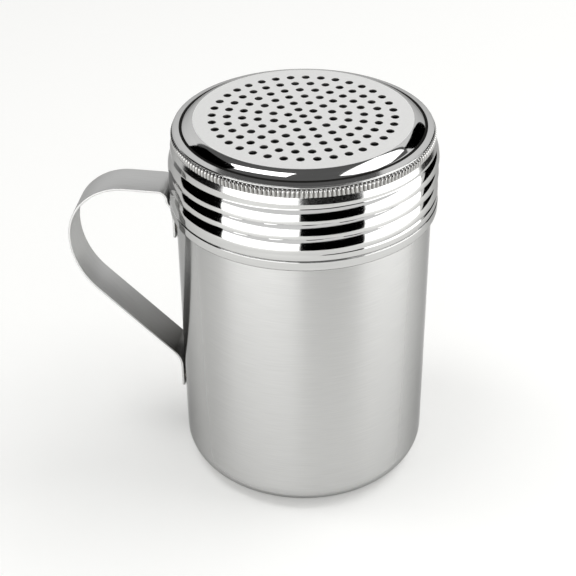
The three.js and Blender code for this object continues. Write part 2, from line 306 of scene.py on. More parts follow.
for name, (right, back, width, depth, turn, brightness) in TOP_LAMPS.items():
    place = around(90, right, OVERHEAD) + around(180, back)
    lamp = soft_lamp(name, place, Vector((0, 0, 0)), width, depth, brightness)
    heading = CAMERA_HEADING + math.radians(turn)
    lamp.matrix_world = Matrix.Translation(place) @ Matrix.Rotation(heading, 4, "Z")
place = around(0, CEILING_FORWARD, CEILING)
below = Vector((place.x, place.y, 0))
card("ceiling", place, below, CEILING_SIZE, CEILING_SIZE, WHITE, glow=CEILING_GLOW)
print("the ceiling hangs", CEILING, "m up")

# %% [markdown]
# ## Steel finishes
#
# All the parts are one metal, stainless steel, and only the way that its surface was worked differs. Steel
# reflects about seven tenths of the light, hardly coloured. What the eye reads is how far a reflection is
# spread, and in which direction.

# %% A steel material
STEEL = "#c6c6c5"
STEEL_EDGE_ON = "#bcbcbc"  # steel, unlike silver, doesn't brighten much where it is seen edge on


def steel(name, roughness, anisotropy=0.0, turn=0.0):
    """A stainless finish. Anisotropy spreads reflections across the brush lines, and turn is that
    direction as a share of a full circle, measured from lines that run around the upright axis."""
    finish = bpy.data.materials.new(name)
    finish.use_nodes = True
    tree = finish.node_tree
    tree.nodes.clear()
    shader = add_node(
        tree,
        "ShaderNodeBsdfPrincipled",
        {
            "Base Color": linear(STEEL),
            "Metallic": 1.0,
            "Roughness": roughness,
            "Anisotropic": anisotropy,
            "Anisotropic Rotation": turn,
            "Specular Tint": linear(STEEL_EDGE_ON),
        },
    )
    if anisotropy:
        around_axis = add_node(tree, "ShaderNodeTangent", direction_type="RADIAL", axis="Z")
        tree.links.new(around_axis.outputs[0], shader.inputs["Tangent"])
    add_node(tree, "ShaderNodeOutputMaterial", {"Surface": shader.outputs[0]})
    print("finish", name)
    return finish, tree, shader


# %% [markdown]
# An abrasive belt or a buffing wheel leaves lines or fine specks. One noise texture draws them: stretched
# along the grain it gives lines, and unstretched it gives an even satin. It varies the tone and the
# roughness a little and presses shallow grooves. A brushed wall also mirrors more where it is seen almost
# edge on, because the light then skims over the grooves.

# %% Brush lines
NOISE_LOW, NOISE_HIGH = 0.3, 0.7  # the noise hardly ever leaves this range
NOISE_DETAIL = 3.0
EDGE_ON_FROM, EDGE_ON_TO = 0.52, 0.66  # from facing us, 0, to edge on, 1: where the mirror comes in
EVEN = (1.0, 1.0, 1.0)
AROUND = (0.02, 0.02, 1.0)
ALONG_STRAP = (0.02, 1.0, 0.02)


def brush_lines(tree, shader, spacing, depth, tones, roughness, across, grazing=1.0):
    """Fine lines left by an abrasive belt. Spacing is the distance between lines across the grain, and
    across says how the pattern is stretched along X, Y and Z: 1 is across the lines. Grazing is the
    share of the roughness that is left where the surface is seen almost edge on."""
    place = add_node(tree, "ShaderNodeTexCoord")
    stretched = add_node(
        tree,
        "ShaderNodeMapping",
        {"Vector": place.outputs["Object"], "Scale": [share / spacing for share in across]},
        vector_type="POINT",
    )
    lines = add_node(
        tree,
        "ShaderNodeTexNoise",
        {"Vector": stretched.outputs[0], "Scale": 1.0, "Detail": NOISE_DETAIL},
    )
    tone = add_node(tree, "ShaderNodeValToRGB", {"Fac": lines.outputs["Fac"]})
    for element, position, colour in zip(tone.color_ramp.elements, (NOISE_LOW, NOISE_HIGH), tones):
        element.position = position
        element.color = linear(colour)
    tree.links.new(tone.outputs[0], shader.inputs["Base Color"])
    spread = add_node(
        tree,
        "ShaderNodeMapRange",
        {
            "Value": lines.outputs["Fac"],
            "From Min": NOISE_LOW,
            "From Max": NOISE_HIGH,
            "To Min": roughness[0],
            "To Max": roughness[1],
        },
    )
    edge_on = add_node(tree, "ShaderNodeLayerWeight", {"Blend": 0.5})
    sharper = add_node(
        tree,
        "ShaderNodeMapRange",
        {
            "Value": edge_on.outputs["Facing"],
            "From Min": EDGE_ON_FROM,
            "From Max": EDGE_ON_TO,
            "To Min": 1.0,
            "To Max": grazing,
        },
    )
    seen = add_node(
        tree, "ShaderNodeMath", {0: spread.outputs[0], 1: sharper.outputs[0]}, operation="MULTIPLY"
    )
    tree.links.new(seen.outputs[0], shader.inputs["Roughness"])
    grooves = add_node(
        tree,
        "ShaderNodeBump",
        {"Strength": 1.0, "Distance": depth, "Height": lines.outputs["Fac"]},
    )
    tree.links.new(grooves.outputs[0], shader.inputs["Normal"])


# %% [markdown]
# Some corners and gaps get painted shade: a dark colour that stands in for the shade there. It could be
# painted into the tone by place, but then the shader would have to know the piece's shape. Instead the piece
# gets an attribute, a number at each point of its mesh, and the finish is mixed with the shade's colour by
# that number.

# %% Painted shade by attribute
def paint_shade(tree, shader, attribute, colour):
    """Darkens a finish with painted shade where an attribute of the mesh says so."""
    clean = shader.inputs["Base Color"].links[0].from_socket
    left = add_node(tree, "ShaderNodeAttribute", attribute_name=attribute)
    # a Mix node of colours takes its factor at 0 and its colours at 6 and 7, and gives the result at 2
    mixed = add_node(
        tree, "ShaderNodeMix", {0: left.outputs["Fac"], 6: clean, 7: linear(colour)}, data_type="RGBA"
    )
    tree.links.new(mixed.outputs[2], shader.inputs["Base Color"])


# %% [markdown]
# The cup's wall was turned against a belt, so its lines run around it. They spread each reflection up and
# down, and leave soft upright bands. The real lines are a few hundredths of a millimetre apart. They are
# drawn about four times as coarse, which still only just shows.
#
# The strap was brushed along its length. The corner beside its lower tab gets painted shade: a dark tint
# that stands in for the shade there.

# %% Brushed cup, brushed strap
brushed_wall, tree, shader = steel("steel_brushed_around", 0.34, anisotropy=0.7, turn=0.25)
brush_lines(
    tree,
    shader,
    spacing=0.16 * MM,
    depth=0.0006 * MM,
    tones=("#c2c2c1", "#cacac9"),
    roughness=(0.32, 0.36),
    across=AROUND,
    grazing=0.35,
)

brushed_strap, tree, shader = steel("steel_brushed_along_strap", 0.44)
brush_lines(
    tree,
    shader,
    spacing=0.2 * MM,
    depth=0.001 * MM,
    tones=("#cdcdcc", "#d6d6d5"),
    roughness=(0.42, 0.47),
    across=ALONG_STRAP,
)
# painted shade: the strap darkens to this colour beside the wall, by its attribute
paint_shade(tree, shader, "painted_shade_by_wall", "#4a4844")

# %% [markdown]
# The lid was buffed with a soft wheel until it mirrors. The wheel doesn't reach between the ribs, so they
# are a little less bright, and the gaps between them get painted shade. In the finest creases, and under the
# hem, a near black painted shade covers the steel. The wheel's marks are really too fine to see, and are
# drawn coarse and very shallow, so that a reflection only just trembles.

# %% Buffed lid, ribs and creases
buffed, tree, shader = steel("steel_buffed", 0.06)
brush_lines(
    tree,
    shader,
    spacing=0.8 * MM,
    depth=0.0002 * MM,
    tones=("#c3c3c2", "#c9c9c8"),
    roughness=(0.05, 0.07),
    across=(0.05, 0.05, 1.0),
)

buffed_ribs, tree, shader = steel("steel_ribs_buffed", 0.14)
brush_lines(
    tree,
    shader,
    spacing=0.5 * MM,
    depth=0.0005 * MM,
    tones=("#c0c0bf", "#cacac9"),
    roughness=(0.12, 0.17),
    across=EVEN,
)
# painted shade: the gaps between the ribs darken to this colour
paint_shade(tree, shader, "between_ribs", "#716f6c")

# this near black finish is painted shade, for the crease, the groove under the bead and the hem's underside
creased, tree, shader = steel("steel_crease_painted_shade", 0.6)
brush_lines(
    tree,
    shader,
    spacing=0.3 * MM,
    depth=0.001 * MM,
    tones=("#262625", "#3c3b39"),
    roughness=(0.5, 0.7),
    across=EVEN,
)

# %% [markdown]
# The pierced top was left with an even satin, which shows the white around it without any edge; its tone is
# painted light, far paler than the rest of the steel. The inside of both drawn parts keeps the dull grey of
# the press. The spot welds are rough and slightly browned by heat.

# %% Satin sieve, dull inside, welds
# the tones below are painted light: far paler than the other steel, for the bright flat top
satin_top_painted_light, tree, shader = steel("steel_satin_painted_light", 0.4)
brush_lines(
    tree,
    shader,
    spacing=0.6 * MM,
    depth=0.0006 * MM,
    tones=("#f5f5f3", "#fafaf9"),
    roughness=(0.37, 0.42),
    across=EVEN,
)

dull_inside, tree, shader = steel("steel_as_drawn", 0.45)
brush_lines(
    tree,
    shader,
    spacing=1.5 * MM,
    depth=0.002 * MM,
    tones=("#a9a8a6", "#b8b7b5"),
    roughness=(0.42, 0.5),
    across=(0.3, 0.3, 1.0),
)

weld_steel, tree, shader = steel("steel_spot_weld", 0.5)
brush_lines(
    tree,
    shader,
    spacing=0.5 * MM,
    depth=0.004 * MM,
    tones=("#77736c", "#a09c95"),
    roughness=(0.45, 0.6),
    across=EVEN,
)

# %% [markdown]
# ## Raising a wall, ring by ring
#
# A drawn or spun part is round, so it is shaped as a metal spinner shapes it. It starts as a flat disc. Its
# rim is extruded and pulled to the next radius and height of the part's outline, again and again. Blender
# could also spin a drawn line about the axis. Rings have a gain here: their number of sides may change on
# the way, which the ribbed grip needs.
#
# An operator acts on all that is selected, so a piece is always opened alone, with nothing selected.

# %% Open and close a piece
SMOOTH_BELOW = math.radians(35)  # faces that meet at less than this look like one curved surface


def open_piece(piece):
    """Opens one piece for work on its edges, with nothing selected."""
    if bpy.context.object and bpy.context.object.mode == "EDIT":
        bpy.ops.object.mode_set(mode="OBJECT")
    bpy.ops.object.select_all(action="DESELECT")
    bpy.context.view_layer.objects.active = piece
    piece.select_set(True)
    bpy.ops.object.mode_set(mode="EDIT")
    bpy.ops.mesh.select_mode(type="EDGE")
    bpy.ops.mesh.select_all(action="DESELECT")


def close_piece():
    bpy.ops.object.mode_set(mode="OBJECT")


def smooth():
    """Smooths the closed piece that is selected."""
    bpy.ops.object.shade_smooth_by_angle(angle=SMOOTH_BELOW)


def size_in_mm(piece):
    return [round(size / MM, 2) for size in piece.dimensions]


# %% [markdown]
# Points are chosen by their place, as a hand would pick them on the bench: all at one height, or all that
# lie on the outside. What is chosen can then be moved towards the axis or away from it.

# %% Choose and move points by their place
SAME_PLACE = 0.001 * MM  # points that are closer than this count as level


def pick(piece, chosen):
    """Selects the open piece's points that pass a test, and the edges and faces between them."""
    bpy.ops.mesh.select_all(action="DESELECT")
    shape = bmesh.from_edit_mesh(piece.data)
    for vertex in shape.verts:
        if chosen(vertex.co):
            vertex.select = True
    shape.select_flush(True)
    bmesh.update_edit_mesh(piece.data)


def ring_at(height):
    """A test for points that lie on the ring at a height."""
    return lambda place: abs(place.z - height) < SAME_PLACE


def move_out(piece, chosen, offset):
    """Moves the open piece's points that pass a test away from the axis, by what offset gives for them."""
    shape = bmesh.from_edit_mesh(piece.data)
    moved = [vertex for vertex in shape.verts if chosen(vertex.co)]
    for vertex in moved:
        share = 1 + offset(vertex.co) / math.hypot(vertex.co.x, vertex.co.y)
        vertex.co.x *= share
        vertex.co.y *= share
    bmesh.update_edit_mesh(piece.data)
    print(piece.name, "moved", len(moved), "points")


# %% [markdown]
# An outline is a list of points, each a radius and a height. Straight stretches need only their ends, except
# where the thread will be rolled in, and rounded edges are arcs.

# %% A blank, its rings and its outline
SIDES = 187  # around every turned part, which is also the number of ribs on the grip


def disc(name, radius, height):
    """A flat round blank, with its rim selected and open for work."""
    bpy.ops.object.select_all(action="DESELECT")
    bpy.ops.mesh.primitive_circle_add(
        vertices=SIDES, radius=radius, fill_type="NGON", location=(0, 0, height)
    )
    blank = bpy.context.object
    blank.name = name
    bpy.ops.object.transform_apply()
    open_piece(blank)
    bpy.ops.mesh.select_all(action="SELECT")
    bpy.ops.mesh.region_to_loop()
    return blank


def raise_rings(start, outline):
    """Extrudes the selected ring through each (radius, height) of an outline, from where it starts."""
    radius, height = start
    for next_radius, next_height in outline:
        bpy.ops.mesh.extrude_region_move(TRANSFORM_OT_translate={"value": (0, 0, next_height - height)})
        share = next_radius / radius
        bpy.ops.transform.resize(value=(share, share, 1), center_override=(0, 0, 0))
        radius, height = next_radius, next_height
    return radius, height


def arc(centre_radius, centre_height, size, start, end, steps):
    """Points of a rounded edge in an outline: angles in degrees, 0 outwards and 90 upwards."""
    turns = [math.radians(start + (end - start) * i / steps) for i in range(1, steps + 1)]
    return [(centre_radius + size * math.cos(t), centre_height + size * math.sin(t)) for t in turns]


def rows(start, end, radius, step):
    """Evenly spaced points of an upright stretch of wall, its start left out and its end kept."""
    count = math.ceil(abs(end - start) / step)
    return [(radius, start + (end - start) * i / count) for i in range(1, count + 1)]


print("rows of an upright stretch", rows(0, 1, 5, 0.5))

# %% [markdown]
# The rings make only the outer skin. The sheet gets its thickness from a Solidify modifier, on the inside,
# and the inside gets the next material of the piece. Where sheet was cut, its edge is broken with a small
# bevel, which catches the light as a real edge does.

# %% Thickness and broken edges
EDGE_BREAK = 0.12 * MM
EDGE_BREAK_STEPS = 3
SHARP_ABOVE = math.radians(60)


def finish_wall(piece, thickness):
    """Turns every face outwards, then gives the skin its thickness on the inside."""
    bpy.ops.mesh.select_all(action="SELECT")
    bpy.ops.mesh.normals_make_consistent(inside=False)
    close_piece()
    wall = piece.modifiers.new("wall", "SOLIDIFY")
    wall.thickness = thickness
    wall.offset = -1
    wall.use_even_offset = True
    wall.material_offset = 1
    bpy.ops.object.modifier_apply(modifier=wall.name)


def break_edges(piece):
    """Bevels a piece's cut edges and smooths the rest."""
    open_piece(piece)
    bpy.ops.mesh.edges_select_sharp(sharpness=SHARP_ABOVE)
    bpy.ops.mesh.bevel(offset=EDGE_BREAK, segments=EDGE_BREAK_STEPS, affect="EDGES")
    close_piece()
    smooth()
    print(piece.name, "has", len(piece.data.polygons), "faces")


# %% [markdown]
# ## The rolled thread
#
# The thread isn't cut. It is rolled into the thin wall, so that the same wave shows inside and outside, in
# the cup's neck and in the lid. It is a helix: where it passes the side that faces us its height is known,
# and each full turn lifts it by the lead. A spinner would press it with two rollers. Here each point of the
# wall is moved along its radius, after the wall has its thickness.
#
# The wave is lopsided, as on the real lid: below each narrow valley the wall comes out in a long curve, and
# then turns back sharply into the next valley. The helix has a beginning at its upper end, out of sight
# beyond the handle, where the first ridge grows over a quarter of a turn. Above it the wall stays plain.

# %% The thread's wave
WHOLE_TURN = 2 * math.pi
LEAD = 4.15 * MM
VALLEY_ANGLE = CAMERA_HEADING - math.pi / 2  # the side that faces the camera
VALLEY_HEIGHT = 95.44 * MM  # of the first valley, on that side
RIDGE_SHARE = 0.88  # where the ridge lies on the way from one valley down to the next
THREAD_START = math.radians(205)  # how far around from that valley the upper end of the thread is
START_LENGTH = math.radians(90)  # the first ridge grows to its full height over this


def wave(place):
    """0 in a valley and 1 on a ridge of the helix that passes this place."""
    angle = math.atan2(place.y, place.x) - VALLEY_ANGLE - THREAD_START
    angle = angle % WHOLE_TURN + THREAD_START - WHOLE_TURN
    turns = (VALLEY_HEIGHT - place.z) / LEAD + angle / WHOLE_TURN
    if turns < 0:
        return 0.0
    grown = 1.0
    if turns < 1:
        grown = min(1.0, (THREAD_START - angle) / START_LENGTH)
    below = turns % 1
    if below > RIDGE_SHARE:
        return grown * (1 + math.cos(math.pi * (below - RIDGE_SHARE) / (1 - RIDGE_SHARE))) / 2
    return grown * (1 - (1 - below / RIDGE_SHARE) ** 2)


print("first valley", round(VALLEY_HEIGHT / MM, 2), "mm up, lead", round(LEAD / MM, 2), "mm")

# %% [markdown]
# A helix has no level ends, but a wall has. So near the upper and the lower end of the threaded stretch
# everything that the roller does fades away.

# %% Roll the thread into a wall
FADE_TOP = 0.9 * MM
FADE_BOTTOM = 2.5 * MM
THREAD_ROW = 0.18 * MM  # between two rings of points, fine enough for the sharp side of the wave


def fade(height, bottom, top):
    """0 at both ends of the thread and 1 between them, with soft changes."""
    share = max(0.0, min(1.0, (height - bottom) / FADE_BOTTOM, (top - height) / FADE_TOP))
    return share * share * (3 - 2 * share)


def roll_thread(piece, bottom, top, offset):
    """Rolls the thread into both sides of a piece's wall between two heights."""
    open_piece(piece)
    move_out(
        piece,
        lambda place: bottom < place.z < top,
        lambda place: offset(place) * fade(place.z, bottom, top),
    )
    close_piece()


# %% [markdown]
# ## The cup
#
# The cup is deep-drawn from one round of sheet: a flat base, a generous corner, a straight wall, and a neck
# that stands in a little and carries the thread. Its rim is drawn in, so that it enters the lid easily, and
# the cut edge is broken so that it doesn't scratch.

# %% Draw the cup
CUP_RADIUS = 33.8 * MM
CUP_HEIGHT = 100 * MM
CUP_WALL = 0.6 * MM
BASE_CORNER = 7 * MM
BASE_CORNER_STEPS = 18
WALL_ROW = 6 * MM
NECK_RADIUS = 33.5 * MM
NECK_BOTTOM = 82.7 * MM
NECK_STEP = 0.3 * MM
NECK_STEP_STEPS = 5
NECK_TOP = 95.4 * MM
TAPER_IN, TAPER_UP = 0.25 * MM, 1.6 * MM  # above the neck the wall first leans in, then runs to the rim
RIM_RADIUS = 32.6 * MM
CUP_RIDGE = 0.85 * MM

flat = CUP_RADIUS - BASE_CORNER
cup = disc("cup_shell", flat, 0)
raise_rings(
    (flat, 0),
    arc(flat, BASE_CORNER, BASE_CORNER, -90, 0, BASE_CORNER_STEPS)
    + rows(BASE_CORNER, NECK_BOTTOM - 2 * NECK_STEP, CUP_RADIUS, WALL_ROW)
    + arc(NECK_RADIUS, NECK_BOTTOM - NECK_STEP, NECK_STEP, 0, 90, NECK_STEP_STEPS)
    + [(NECK_RADIUS, NECK_BOTTOM + NECK_STEP)]
    + rows(NECK_BOTTOM + NECK_STEP, NECK_TOP, NECK_RADIUS, THREAD_ROW)
    + [(NECK_RADIUS - TAPER_IN, NECK_TOP + TAPER_UP), (RIM_RADIUS, CUP_HEIGHT)],
)
cup.data.materials.append(brushed_wall)
cup.data.materials.append(dull_inside)
finish_wall(cup, CUP_WALL)
roll_thread(cup, NECK_BOTTOM + NECK_STEP, NECK_TOP, lambda place: CUP_RIDGE * wave(place))
break_edges(cup)
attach(cup, "vessel")
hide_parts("cup")
print("cup", size_in_mm(cup), "mm")

# %% [markdown]
# ## The lid
#
# The lid is a second drawn shell. From the flat pierced top a rounded shoulder falls to a fine crease. Then
# comes a narrow, almost flat flange with a bead for an edge, a groove under it, the ribbed band to grip, a
# flare out to the threaded part, and a plain skirt. Its heights are measured down from the sieve, as the CAD
# model gives it.

# %% Sizes of the lid
LID_WALL = 0.5 * MM
SIEVE_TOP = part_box("lid")[1].z
SIEVE_RADIUS = 28.3 * MM
CREASE_RADIUS = 31.1 * MM
FLANGE_RADIUS = 33.27 * MM
BAND_RADIUS = 33.9 * MM
BAND_DROP = 2.62 * MM  # from the sieve down to the band's top
BAND_HEIGHT = 2.18 * MM
FLARE_HEIGHT = 1.6 * MM
LID_RADIUS = 35.2 * MM
THREAD_DROP = 6.4 * MM  # from the sieve down to where the thread begins
THREADED_HEIGHT = 14.0 * MM
SKIRT_DROP = 21.8 * MM
GROOVE = 0.88 * MM  # how deep the thread's valleys are

band_top = SIEVE_TOP - BAND_DROP
flare_top = band_top - BAND_HEIGHT
thread_top = SIEVE_TOP - THREAD_DROP
thread_bottom = thread_top - THREADED_HEIGHT
skirt_bottom = SIEVE_TOP - SKIRT_DROP
print("ribs", SIDES, "pitch", round(WHOLE_TURN * BAND_RADIUS / SIDES / MM, 2), "mm")

# %% [markdown]
# The shoulder gets steeper evenly on its way out, so its fall is a parabola between two slopes. It ends in
# a crease, a hollow of a third of a millimetre. The shoulder could be a plain arc, but then its white
# reflections would have the wrong length.

# %% Draw the lid down to the crease
BLANK_MARGIN = 0.6 * MM  # the blank ends this far inside the sieve's edge
SIEVE_EDGE = ((-0.12, 0.0), (0.0, 0.010), (0.08, 0.026))  # steps outwards and down, in millimetres
SHOULDER_SLOPES = (0.25, 0.93)  # fall per length, just outside the sieve and at the crease
SHOULDER_STEPS = 12
SHOULDER_WIDTH = CREASE_RADIUS - SIEVE_RADIUS


def shoulder_drop(out):
    """How far the shoulder has fallen at a distance outside the sieve's edge: it gets steeper evenly."""
    first, last = SHOULDER_SLOPES
    return first * out + (last - first) * out * out / (2 * SHOULDER_WIDTH)


flat = SIEVE_RADIUS - BLANK_MARGIN
lid = disc("lid_shell", flat, SIEVE_TOP)
blank_shape = bmesh.from_edit_mesh(lid.data)
blank_shape.verts.ensure_lookup_table()
first_angle = math.atan2(blank_shape.verts[0].co.y, blank_shape.verts[0].co.x)

edge = [(SIEVE_RADIUS + out * MM, SIEVE_TOP - down * MM) for out, down in SIEVE_EDGE]
edge_out = edge[-1][0] - SIEVE_RADIUS
edge_drop = SIEVE_TOP - edge[-1][1] - shoulder_drop(edge_out)
shoulder = []
for i in range(1, SHOULDER_STEPS + 1):
    out = edge_out + (SHOULDER_WIDTH - edge_out) * i / SHOULDER_STEPS
    shoulder.append((SIEVE_RADIUS + out, SIEVE_TOP - edge_drop - shoulder_drop(out)))
end = raise_rings((flat, SIEVE_TOP), edge + shoulder)
crease_height = end[1]
print("crease is", round((SIEVE_TOP - crease_height) / MM, 2), "mm below the sieve")

# %% [markdown]
# The flange's edge is turned down into a bead, which shows as one thin bright line. The groove between the
# bead and the ribs shows as a thin dark one.

# %% Crease, flange, bead and groove
CREASE_WIDTH = 0.75 * MM
CREASE_HOLLOW = ((0.14, 0.24), (0.34, 0.33), (0.58, 0.26))  # steps outwards and down, in millimetres
FLANGE_SLOPE = 0.19
BEAD_ROUND = 0.3 * MM
BEAD_OUT = 0.04 * MM
BEAD_FROM, BEAD_TO, BEAD_STEPS = 78, -45, 9  # degrees of its arc
GROOVE_EDGE = ((0.06, 0.05), (0.02, 0.02), (0.12, 0.0))  # outwards from the flange, up from the band

hollow = [(CREASE_RADIUS + out * MM, crease_height - down * MM) for out, down in CREASE_HOLLOW]
flange_height = crease_height - FLANGE_SLOPE * (FLANGE_RADIUS - CREASE_RADIUS)
flange = [
    (CREASE_RADIUS + CREASE_WIDTH, crease_height - CREASE_WIDTH * FLANGE_SLOPE),
    (FLANGE_RADIUS, flange_height),
]
bead = arc(FLANGE_RADIUS + BEAD_OUT, flange_height - BEAD_ROUND, BEAD_ROUND, BEAD_FROM, BEAD_TO, BEAD_STEPS)
groove = [(FLANGE_RADIUS + out * MM, band_top + up * MM) for out, up in GROOVE_EDGE]
end = raise_rings(end, hollow + flange + bead + groove)
print("lid is drawn down to", round((SIEVE_TOP - end[1]) / MM, 2), "mm below the sieve")

# %% [markdown]
# The ribs are about a millimetre apart. They could be a bump in the material, but they break the outline of
# the lid, so each is a shape, with six columns of faces. Only the band needs so many, so the ring is
# subdivided here. The new points lie on the ring's straight sides, and are moved out to the circle first.
#
# The band is crowned: its middle stands out and its edges are rounded, the upper one more than the lower.
# A cosine around the band then gives the ribs, which die away at its edges.

# %% Ribbed band
RIB_CUTS = 5  # extra points in each side of the ring along the ribbed band
RIB_HEIGHT = 0.17 * MM
RIB_END = 0.22 * MM  # height over which a rib dies away at the band's edges
RIB_ABOVE = 0.04 * MM  # the ribs die away this far over the band's top, so that they show up to its edge
RIB_MARGIN = 0.02 * MM  # the rings at the band's very edges stay round
UPPER_CROWN, LOWER_CROWN = 0.40 * MM, 0.04 * MM  # how far the middle stands out beyond each edge
CROWN_POWER = 3  # a high power keeps the middle flat and rounds only the edges
BAND_STEPS = 16

bpy.ops.mesh.subdivide(number_cuts=RIB_CUTS)
pick(lid, ring_at(end[1]))
move_out(lid, ring_at(end[1]), lambda place: end[0] - math.hypot(place.x, place.y))

band = []
for i in range(1, BAND_STEPS + 1):
    share = i / BAND_STEPS
    crown = LOWER_CROWN if share > 0.5 else UPPER_CROWN
    rounding = (2 * abs(share - 0.5)) ** CROWN_POWER
    band.append((BAND_RADIUS - crown * rounding, band_top - BAND_HEIGHT * share))
end = raise_rings(end, band)


def rib(place):
    """How far a rib stands out at a place on the band: round-topped, and gone at the band's two edges."""
    near_edge = min(band_top + RIB_ABOVE - place.z, place.z - flare_top)
    share = max(0.0, min(1.0, near_edge / RIB_END))
    return RIB_HEIGHT * math.sin(math.pi / 2 * share) * math.cos(SIDES * math.atan2(place.y, place.x))


move_out(lid, lambda place: flare_top + RIB_MARGIN < place.z < band_top - RIB_MARGIN, rib)

# %% [markdown]
# Nothing below the band needs so many sides. One more ring is raised, and the points that the subdivision
# added are dissolved from it. They are known by their angle: they lie between the places of the first ones.

# %% Go back to the plain number of sides below the ribs
LIP_DOWN, LIP_OUT = 0.12 * MM, 0.03 * MM
ON_A_SIDE = 0.05  # in shares of a side: the added points are further than this from its ends

lip_height = end[1] - LIP_DOWN
end = raise_rings(end, [(end[0] + LIP_OUT, lip_height)])


def spare(place):
    """A test for the points that the subdivision added, on the ring below the ribs."""
    side = (math.atan2(place.y, place.x) - first_angle) * SIDES / WHOLE_TURN
    return ring_at(lip_height)(place) and abs(side - round(side)) > ON_A_SIDE


bpy.ops.mesh.select_mode(type="VERT")
pick(lid, spare)
bpy.ops.mesh.dissolve_verts()
bpy.ops.mesh.select_mode(type="EDGE")
pick(lid, ring_at(lip_height))
print("sides below the ribs", sum(side.select for side in bmesh.from_edit_mesh(lid.data).edges))

# %% [markdown]
# Under the band the wall flares out to the radius of the thread's valleys, and then opens to the full radius
# just as fast as the thread gets its depth. The roller presses the valleys in from there. The skirt below is
# plain, and its edge is tucked in over the hem.

# %% Flare, threaded part and skirt
TUCK = 0.25 * MM
TUCK_TO, TUCK_STEPS = -80, 4
SKIRT_ROW = 0.4 * MM

flare_bottom = flare_top - FLARE_HEIGHT
valley_radius = LID_RADIUS - GROOVE
thread_full = thread_top - FADE_TOP
widening = (valley_radius - end[0]) / (lip_height - flare_bottom)
flare = [
    (end[0] + widening * (lip_height - height), height)
    for _, height in rows(lip_height, flare_bottom, 0, THREAD_ROW)
]
opening = [
    (valley_radius + GROOVE * fade(height, thread_bottom, thread_top), height)
    for _, height in rows(flare_bottom, thread_full, 0, THREAD_ROW)
]
raise_rings(
    end,
    flare
    + opening
    + rows(thread_full, thread_bottom, LID_RADIUS, THREAD_ROW)
    + rows(thread_bottom, skirt_bottom + TUCK, LID_RADIUS, SKIRT_ROW)
    + arc(LID_RADIUS - TUCK, skirt_bottom + TUCK, TUCK, 0, TUCK_TO, TUCK_STEPS),
)
for finish in (buffed, dull_inside, satin_top_painted_light, buffed_ribs, creased):
    lid.data.materials.append(finish)
finish_wall(lid, LID_WALL)
roll_thread(lid, thread_bottom, thread_top, lambda place: -GROOVE * (1 - wave(place)))
print("lid", size_in_mm(lid), "mm")

# %% [markdown]
# ## Piercing the sieve
#
# All the holes are pierced in one stroke by a block of round punches. One punch is modelled: a rod that
# widens just at the surface, because the burr around each hole is ground off. Each hole has only a couple of
# dozen sides, since there are so many of them.

# %% One punch
HOLE_RADIUS = 1.03 * MM
HOLE_SIDES = 24
HOLE_EDGE = 0.05 * MM
PUNCH_LENGTH = 3 * LID_WALL

bpy.ops.object.select_all(action="DESELECT")
bpy.ops.mesh.primitive_cylinder_add(
    vertices=HOLE_SIDES,
    radius=HOLE_RADIUS,
    depth=PUNCH_LENGTH,
    location=(0, 0, SIEVE_TOP - HOLE_EDGE - PUNCH_LENGTH / 2),
)
punch = bpy.context.object
punch.name = "punch"
bpy.ops.object.transform_apply()
open_piece(punch)
bpy.ops.mesh.select_mode(type="FACE")
pick(punch, ring_at(SIEVE_TOP - HOLE_EDGE))
bpy.ops.mesh.extrude_region_move(TRANSFORM_OT_translate={"value": (0, 0, HOLE_EDGE)})
share = 1 + HOLE_EDGE / HOLE_RADIUS
bpy.ops.transform.resize(value=(share, share, 1), center_override=(0, 0, 0))
bpy.ops.mesh.extrude_region_move(TRANSFORM_OT_translate={"value": (0, 0, LID_WALL)})
close_piece()
print("punch", size_in_mm(punch), "mm")

# %% [markdown]
# The punch is copied to its 127 places: one in the middle, and rings of six more than the last. The copies
# are joined and cut out of the lid together, with one exact Boolean.

# %% Copy the punch and cut
RING_SPACING = 3.9 * MM
RINGS = 6
RING_ANGLE = math.radians(-5.75)

punches = [punch]
for ring_number in range(1, RINGS + 1):
    count = 6 * ring_number
    for i in range(count):
        angle = RING_ANGLE + WHOLE_TURN * i / count
        copy = punch.copy()
        copy.data = punch.data.copy()
        distance = ring_number * RING_SPACING
        copy.location = (distance * math.cos(angle), distance * math.sin(angle), 0)
        scene.collection.objects.link(copy)
        punches.append(copy)
bpy.ops.object.select_all(action="DESELECT")
for copy in punches:
    copy.select_set(True)
bpy.context.view_layer.objects.active = punch
bpy.ops.object.join()
bpy.ops.object.select_all(action="DESELECT")
bpy.context.view_layer.objects.active = lid
lid.select_set(True)
pierce = lid.modifiers.new("pierce", "BOOLEAN")
pierce.operation = "DIFFERENCE"
pierce.solver = "EXACT"
pierce.object = punch
bpy.ops.object.modifier_apply(modifier=pierce.name)
bpy.data.objects.remove(punch)
smooth()
print("pierced", len(punches), "holes")

# %% [markdown]
# ## The lid's finishes
#
# Each face of the outside gets its finish by its place: satin with painted light on the flat top, dull walls
# in the holes, near black painted shade in the crease and in the groove under the bead, and less brightness
# on the ribs and the flare. The rest stays buffed.

# %% Satin top, dull holes, painted shade in creases, ribs less buffed
DULL, SATIN, RIBBED, CREASED = 1, 2, 3, 4  # places in the lid's list of materials
FACES_UP = 0.9  # height of a face's normal, above which it belongs to the flat top
SOFT_FLARE = 2.4 * MM  # how far below the ribs the wheel doesn't reach well
CREASE_DEPTH = 0.34 * MM
GROOVE_IN, GROOVE_OUT = 0.1 * MM, 0.13 * MM  # how far the groove reaches from the flange's radius
GROOVE_DOWN, GROOVE_UP = 0.01 * MM, 0.1 * MM  # and from the band's top
DARK_CREASES = (  # inner and outer radius, lower and upper height
    (CREASE_RADIUS, CREASE_RADIUS + CREASE_WIDTH, crease_height - CREASE_DEPTH, crease_height),
    (FLANGE_RADIUS - GROOVE_IN, FLANGE_RADIUS + GROOVE_OUT, band_top - GROOVE_DOWN, band_top + GROOVE_UP),
)

